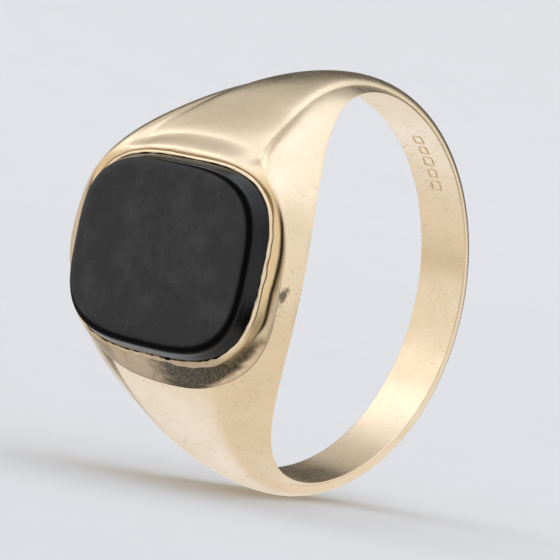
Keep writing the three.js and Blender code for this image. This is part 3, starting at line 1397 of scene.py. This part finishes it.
@dataclass(frozen=True)
class Gold:
    """Pale worn gold. Its tone drifts a little, and hairlines, pits and soft waves cross it."""

    name: str
    colour: Colour = (0.94, 0.775, 0.555)
    deep: Colour = (0.87, 0.685, 0.455)
    dirt: Colour = (0.30, 0.22, 0.13)
    roughness: float = 0.2
    wear: Wear = Wear()

    def hairlines(self, graph: Graph, place: Sock, turn: tuple[float, float, float], seed: float) -> Sock:
        """Thin straight scratches in one direction, 1 where a scratch is.

        Args:
            graph: the material's tree.
            place: where, in millimetres.
            turn: the direction, as a rotation in radians.
            seed: moves the pattern.

        Returns:
            The scratches.
        """
        values = {"Vector": place, "Rotation": turn, "Location": (seed, seed * 1.7, seed * 2.3)}
        turned = graph.add("ShaderNodeMapping", {"vector_type": "POINT"}, values)
        lines = graph.noise(graph.stretch(turned, (0.5, 11.0, 11.0)), 1.0, 2.0, 0.4)
        patches = graph.noise(place, 0.6, 2.0)
        return lines.ramp(0.60, 0.70) * patches.ramp(0.42, 0.62)

    def surface(self, graph: Graph, place: Sock) -> tuple[Sock, Sock, Sock]:
        """Makes what every gold part starts from.

        Args:
            graph: the material's tree.
            place: where, in millimetres.

        Returns:
            The colour, the roughness and the bump's height in millimetres.
        """
        wear = self.wear
        drift = graph.noise(place, 0.4, 4.0).ramp(0.3, 0.7)
        colour = graph.mix(drift * 0.45, self.colour, self.deep)
        lines = self.hairlines(graph, place, (0.3, 0.2, 0.5), 3.0)
        lines = lines.high(self.hairlines(graph, place, (1.2, 0.9, -0.4), 11.0) * 0.7)
        worn = graph.noise(place, 0.7, 2.0).ramp(0.45, 0.7)
        specks = graph.noise(place, 7.0, 2.0, 0.5).ramp(0.70, 0.76) * worn
        fine = graph.noise(place, 2.5, 3.0)
        colour = graph.mix((specks * 0.5).high(lines * 0.2), colour, self.dirt)
        rough = self.roughness + 0.08 * fine + 0.05 * drift + 0.10 * lines
        height = graph.noise(place, 0.45, 1.0) * wear.waviness - lines * wear.scratches - specks * wear.pits
        return colour, rough, height

    def dirtied(self, graph: Graph, place: Sock, colour: Sock, rough: Sock, height: Sock) -> tuple:
        """Adds what only this part's gold has. Plain gold has nothing more.

        Args:
            graph: the material's tree.
            place: where, in millimetres.
            colour: the clean gold's colour.
            rough: its roughness.
            height: its bump's height.

        Returns:
            The colour, the roughness and the height.
        """
        return colour, rough, height

    def build(self) -> bpy.types.Material:
        """Makes the material.

        Returns:
            The material.
        """
        material, graph = material_graph(self.name)
        place = millimetres(graph)
        colour, rough, height = self.dirtied(graph, place, *self.surface(graph, place))
        values = {"Base Color": colour, "Metallic": 1.0, "Roughness": rough}
        finish_surface(graph, values, height, 1.0)
        return material


@dataclass(frozen=True)
class ShankGold(Gold):
    """The body's gold, with a dark stain on a cheek and dirt in the grain round it."""

    stain: Colour = (0.13, 0.10, 0.075)
    stain_place: tuple[float, float] = (7.05, -0.62)
    stain_size: tuple[float, float] = (0.15, 0.5)
    stain_lean: float = 0.22
    stain_height: float = 9.9

    def dirtied(self, graph: Graph, place: Sock, colour: Sock, rough: Sock, height: Sock) -> tuple:
        """Adds the stain.

        Args:
            graph: the material's tree.
            place: where, in millimetres.
            colour: the clean gold's colour.
            rough: its roughness.
            height: its bump's height.

        Returns:
            The colour, the roughness and the height.
        """
        x, y, z = graph.parts(place)
        up = z - self.stain_place[1]
        across = (x - self.stain_place[0] - up * self.stain_lean) / self.stain_size[0]
        along = up / self.stain_size[1]
        ragged = graph.noise(place, 4.0, 4.0, 0.7)
        reach = (across * across + along * along) ** 0.5 + (ragged - 0.5) * 1.6
        outside = y.below(-self.stain_height)
        grain = graph.noise(graph.stretch(place, (9.0, 9.0, 3.0)), 1.0, 3.0, 0.7).ramp(0.56, 0.72)
        core, halo = reach.ramp(1.15, 0.35) * outside, reach.ramp(4.2, 0.8) * outside * grain
        dark = (core * 0.85).high(halo * 0.6)
        return graph.mix(dark, colour, self.stain), rough + 0.25 * dark, height


@dataclass(frozen=True)
class ColletGold(Gold):
    """The collet's gold: yellower on the cup's wall, with grime and painted shade in its lines, and tarnish
    with a painted dark reflection below.
    """

    cup: Colour = (0.84, 0.62, 0.33)
    tarnish: Colour = (0.055, 0.055, 0.038)
    # The collet's lower side is painted tan and dark: speckled tarnish together with a painted dark
    # reflection.
    tan: Colour = (0.41, 0.26, 0.12)
    black: Colour = (0.035, 0.028, 0.02)
    tarnish_middle: float = 3.5
    tarnish_reach: float = 4.3
    lip_height: float = 10.95  # where the tarnish and its painted dark reflection stop, just under the lip's crest
    rim_half_x: float = 6.93
    rim_half_z: float = 6.03
    roughest: float = 0.75

    def dirtied(self, graph: Graph, place: Sock, colour: Sock, rough: Sock, height: Sock) -> tuple:
        """Adds the yellower cup, the tan and dark tarnish with a painted dark reflection on the lower side,
        and the grime and painted shade in the lines.

        Args:
            graph: the material's tree.
            place: where, in millimetres.
            colour: the clean gold's colour.
            rough: its roughness.
            height: its bump's height.

        Returns:
            The colour, the roughness and the height.
        """
        x, y, z = graph.parts(place)
        grime, cup = (
            graph.add("ShaderNodeAttribute", {"attribute_name": name}, None, "Fac")
            for name in ("grime", "cup_gold")
        )
        speck = graph.noise(place, 11.0, 4.0, 0.75)
        cloud = graph.noise(place, 2.2, 3.0, 0.6)
        # Tarnish and painted dark reflection: the lower side of the cup is painted tan, with dark specks
        # towards its middle.
        low = (z - x.ramp(4.6, 6.3) * 1.15).ramp(-3.7, -4.5)
        on_lip = (-y).ramp(self.lip_height - 0.09, self.lip_height - 0.02)
        inside = ((x / self.rim_half_x) ** 2 + (z / self.rim_half_z) ** 2) ** 0.5
        low = low * (inside + (cloud - 0.5) * 0.04).ramp(1.05, 1.01)
        warm = low * (0.7 + 0.3 * cloud) * (1 - on_lip * 0.6)
        spread = (x - self.tarnish_middle) / self.tarnish_reach + (cloud - 0.5) * 0.5
        dark = low * abs(spread).ramp(1.05, 0.5) * speck.ramp(0.74, 0.5) * (1 - on_lip * 0.7)
        # The grime and shade numbers paint the collet's lines black, ragged by the specks: partly grime,
        # partly painted shade in the groove, the seam and the gap round the stone.
        ragged = (grime * (0.72 + 0.9 * (speck - 0.4))).low(0.94).high(0.0)
        layers = ((cup * 0.85, self.cup), (warm * 0.9, self.tan), (dark * 0.95, self.tarnish))
        for share, shade in (*layers, (ragged, self.black)):
            colour = graph.mix(share, colour, shade)
        rough = rough + 0.22 * dark + 0.3 * grime + 0.05 * cup
        return colour, rough.low(self.roughest), height + (speck - 0.5) * dark * 0.03


@dataclass(frozen=True)
class Onyx:
    """Black onyx, rubbed matte on the table and polished on its sides.

    The matte part ends at matte_depth under the table, deeper towards one corner, and the painted dark band
    under it moves down with it there.
    """

    table: float
    matte_colour: Colour = (0.024, 0.023, 0.023)
    pale_colour: Colour = (0.085, 0.082, 0.079)
    speck_colour: Colour = (0.16, 0.15, 0.14)
    polished_colour: Colour = (0.0015, 0.0015, 0.002)
    matte_depth: float = 0.034
    most_worn: float = 0.16
    gloss_ior: float = 1.42

    def build(self) -> bpy.types.Material:
        """Makes the material: a matte, a glossy and a black shader, mixed by the height. The black shader
        reflects almost nothing and paints a dark reflection on the rounding just under the matte part.

        Returns:
            The material.
        """
        material, graph = material_graph("onyx")
        place = millimetres(graph)
        x, y, z = graph.parts(place)
        grain = graph.noise(place, 14.0, 3.0, 0.7)
        down = y + self.table
        # How much deeper the matte part and the painted dark band reach, growing towards one corner.
        edge_shift = self.most_worn * (z * 0.16 - x * 0.12).ramp(-0.3, 1.2)
        depth = edge_shift + self.matte_depth + (graph.noise(place, 2.5, 3.0) - 0.5) * 0.014
        # Just under the matte part the polished rounding gets the black shader: a painted dark reflection.
        matte = down.ramp(depth + 0.025, depth - 0.006)
        rubbed = down.ramp(depth + 0.19, depth + 0.08)
        # Painted dark edge: the matte table is darkened towards black where it turns over, standing for a
        # dark reflection.
        painted_dark_edge = down.ramp(edge_shift + 0.012, edge_shift + 0.05)
        dull = self.dull(graph, place, grain, painted_dark_edge)
        black = opaque(self.polished_colour)
        values = {"Base Color": black, "Roughness": 0.09 + 0.05 * grain, "IOR": self.gloss_ior}
        glossy = graph.add("ShaderNodeBsdfPrincipled", None, values)
        values = {"Base Color": black, "Roughness": 0.3, "Specular IOR Level": 0.03}
        painted_dark_shader = graph.add("ShaderNodeBsdfPrincipled", None, values)
        side = graph.add("ShaderNodeMixShader", None, [rubbed, glossy, painted_dark_shader])
        shader = graph.add("ShaderNodeMixShader", None, [matte, side, dull])
        graph.node("ShaderNodeOutputMaterial", None, [shader])
        return material

    def dull(self, graph: Graph, place: Sock, grain: Sock, painted_dark_edge: Sock) -> Sock:
        """Makes the rubbed table, mottled, streaked and specked, with painted shade darkening it towards
        its edge.

        Args:
            graph: the material's tree.
            place: where, in millimetres.
            grain: fine noise.
            painted_dark_edge: 1 where the table turns over into the sides, where a dark reflection is
                painted.

        Returns:
            The shader.
        """
        cloud = graph.noise(place, 0.8, 4.0, 0.6)
        broad = graph.noise(place, 0.35, 3.0, 0.6)
        streaks = graph.noise(graph.stretch(place, (7.0, 7.0, 0.5)), 1.0, 3.0, 0.6).ramp(0.55, 0.75)
        cross = graph.noise(graph.stretch(place, (0.9, 6.0, 12.0)), 1.0, 2.0, 0.5).ramp(0.66, 0.74)
        specks = graph.noise(place, 6.0, 2.0, 0.5).ramp(0.73, 0.77)
        marks = streaks * 0.16 + cross * 0.2 + (grain - 0.5) * 0.6
        pale = (marks + (cloud - 0.5) * 0.9 + (broad - 0.5) * 1.1 + 0.08).high(0.0)
        colour = graph.mix(pale, self.matte_colour, self.pale_colour)
        colour = graph.mix(specks * 0.7, colour, self.speck_colour)
        # Painted dark reflection at the table's edge.
        colour = graph.mix(painted_dark_edge * 0.85, colour, self.polished_colour)
        bump = {"Distance": MM, "Height": grain * 0.004 + streaks * 0.0015}
        values = {
            "Base Color": colour,
            "Roughness": 0.52 + 0.1 * grain,
            "Specular IOR Level": 0.3,
            "Normal": graph.add("ShaderNodeBump", None, bump),
        }
        return graph.add("ShaderNodeBsdfPrincipled", None, values)


@dataclass(frozen=True)
class Cement:
    """Dull dark cement."""

    light: Colour = (0.07, 0.05, 0.035)
    dark: Colour = (0.03, 0.022, 0.016)
    grain_depth: float = 0.02

    def build(self) -> bpy.types.Material:
        """Makes the material.

        Returns:
            The material.
        """
        material, graph = material_graph("cement")
        spots = graph.noise(millimetres(graph), 8.0)
        values = {"Base Color": graph.mix(spots, self.light, self.dark), "Roughness": 0.7 + 0.2 * spots}
        finish_surface(graph, values, spots, self.grain_depth)
        return material


# ---- Studio ----


def bearings(azimuth: float, elevation: float) -> tuple[Vector, Vector]:
    """Turns a direction's angles into vectors.

    Args:
        azimuth: in radians, 0 in front of the head and growing towards +X.
        elevation: in radians.

    Returns:
        The direction away from the ring, and the level direction to the right as seen from there.
    """
    ahead = Vector((
        math.sin(azimuth) * math.cos(elevation),
        -math.cos(azimuth) * math.cos(elevation),
        math.sin(elevation),
    ))
    return ahead, Vector((math.cos(azimuth), math.sin(azimuth), 0))


@dataclass(frozen=True)
class Panel:
    """A soft-edged light panel or dark card of the tent, as seen from the ring, in degrees."""

    azimuth: float
    elevation: float
    half_width: float
    half_height: float
    light: Colour
    softness: float

    def over(self, graph: Graph, way: Sock, light: Sock) -> Sock:
        """Lays the panel over the light that comes from a direction.

        Args:
            graph: the world's tree.
            way: the direction.
            light: the light behind the panel.

        Returns:
            The light with the panel in front of it.
        """
        ahead, level = bearings(math.radians(self.azimuth), math.radians(self.elevation))
        settings = {"operation": "DOT_PRODUCT"}
        wide, tall, near = (
            graph.add("ShaderNodeVectorMath", settings, [way, tuple(axis)], "Value")
            for axis in (level, ahead.cross(level), ahead)
        )
        wide = wide / math.sin(math.radians(self.half_width))
        tall = tall / math.sin(math.radians(self.half_height))
        out = (wide * wide + tall * tall) ** 0.5
        return graph.mix(out.ramp(1.0, 1.0 - self.softness) * near.above(0.0), light, self.light)


TENT = (
    Panel(-148, 18, 54, 32, (0.07, 0.067, 0.058), 0.4),
    Panel(-141, 0, 24, 14, (0.55, 0.52, 0.46), 0.8),
    Panel(-116, 47, 48, 12, (0.46, 0.45, 0.42), 0.8),
    Panel(-72, 38, 24, 13, (1.6, 1.65, 1.75), 0.6),
    Panel(-103, -24, 22, 15, (0.13, 0.125, 0.12), 0.6),
    Panel(-104, -45, 52, 17, (0.97, 1.03, 1.18), 0.8),
    Panel(-44, -20, 15, 10, (0.58, 0.53, 0.44), 0.8),
    Panel(-47, 26, 17, 12, (1.25, 1.26, 1.3), 0.7),
    Panel(98, -24, 24, 24, (0.10, 0.09, 0.07), 0.6),
    Panel(97, 16, 15, 22, (0.7, 0.73, 0.8), 0.5),
)


@dataclass
class Studio:
    """The pale floor, the soft light and the camera. Angles are degrees."""

    azimuth: float = 40.93
    elevation: float = 1.41
    roll: float = 11.31
    distance: float = 180.0
    lens: float = 232.4
    sensor: float = 36.0
    clip: tuple[float, float] = (0.01, 10.0)
    aim_right: float = -1.817
    aim_up: float = 0.098
    floor_flat: float = 600.0
    floor_bend: float = 700.0
    floor_steps: tuple[int, int, int] = (96, 8, 12)
    floor_colour: Colour = (0.80, 0.80, 0.79)
    floor_dark: float = 0.97
    floor_light: Colour = (0.82, 0.78, 0.73)
    side_light: Colour = (0.92, 0.91, 0.90)
    top_light: Colour = (1.2, 1.25, 1.38)
    panels: tuple[Panel, ...] = TENT

    def camera(self) -> None:
        """Makes the camera."""
        a, e, t = (math.radians(v) for v in (self.azimuth, self.elevation, self.roll))
        back, level = bearings(a, e)
        right = level * math.cos(t) + back.cross(level) * math.sin(t)
        up = back.cross(right)
        aim = right * self.aim_right + up * self.aim_up
        data = bpy.data.cameras.new("camera")
        data.lens, data.sensor_width = self.lens, self.sensor
        data.clip_start, data.clip_end = self.clip
        camera = in_scene("camera", data)
        turned = Matrix((right, up, back)).transposed().to_4x4()
        camera.matrix_world = Matrix.Translation((aim + back * self.distance) * MM) @ turned
        bpy.context.scene.camera = camera

    def world(self) -> None:
        """Makes the light: a pale tent, bright above and warm below, with its panels and dark cards."""
        world = bpy.data.worlds.new("studio")
        world.use_nodes = True
        graph = Graph(world.node_tree)
        way = graph.add("ShaderNodeTexCoord", None, None, "Generated")
        _, _, up = graph.parts(way)
        light = graph.mix(up.ramp(-0.75, -0.2), self.floor_light, self.side_light)
        light = graph.mix(up.ramp(0.55, 0.95), light, self.top_light)
        for panel in self.panels:
            light = panel.over(graph, way, light)
        shine = graph.add("ShaderNodeBackground", None, {"Color": light, "Strength": 1.0})
        graph.node("ShaderNodeOutputWorld", None, [shine])
        bpy.context.scene.world = world

    def floor(self) -> None:
        """Makes the floor: a wide pale sheet that turns up all round, far outside the camera's path."""
        count, flat_rings, bent_rings = self.floor_steps
        bend, flat = self.floor_bend, self.floor_flat
        rings = [(flat * k / flat_rings, 0.0) for k in range(1, flat_rings + 1)]
        for k in range(1, bent_rings + 1):
            swing = math.pi / 2 * k / bent_rings
            rings.append((flat + bend * math.sin(swing), bend * (1 - math.cos(swing))))
        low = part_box("ring_body")[0].z / MM
        points = [
            (reach * math.cos(t) * MM, reach * math.sin(t) * MM, (low + rise) * MM)
            for reach, rise in rings
            for t in np.linspace(0, TAU, count, endpoint=False)
        ]
        faces = [tuple(range(count))]
        for row in range(0, (len(rings) - 1) * count, count):
            for k in range(count):
                j = (k + 1) % count
                faces.append((row + k, row + count + k, row + count + j, row + j))
        mesh = bpy.data.meshes.new("floor")
        mesh.from_pydata(points, [], faces)
        mesh.shade_smooth()
        sheet = in_scene("floor", mesh)
        material, graph = material_graph("floor_paper")
        shade = graph.noise(graph.add("ShaderNodeTexCoord", None, None, "Object"), 60.0)
        tone = graph.mix(shade, self.floor_colour, tuple(c * self.floor_dark for c in self.floor_colour))
        finish_surface(graph, {"Base Color": tone, "Roughness": 0.9})
        mesh.materials.append(material)
        sheet.visible_glossy = False


def build_ring() -> None:
    """Builds every piece of the ring in order."""
    head = Head()
    shank = Shank(head)
    satin = Gold("satin_gold", deep=(0.80, 0.60, 0.37), roughness=0.3).build()
    shank.build(ShankGold("polished_gold").build())
    Collet(head, shank).build(ColletGold("collet_gold", roughness=0.24).build())
    Stone(head).build(Onyx(head.table).build())
    seat = Seat(head)
    seat.build_bearer(satin)
    seat.build_cement(Cement().build())
    Gallery(head).build(satin)
    StruckMarks(head.bore_radius).build(satin)


def main() -> None:
    """Builds the ring and the studio."""
    logging.basicConfig(level=logging.INFO, format="%(message)s")
    studio = Studio()
    studio.camera()
    build_ring()
    studio.floor()
    studio.world()
    bpy.context.scene.view_settings.view_transform = "Standard"


if __name__ == "__main__":
    main()
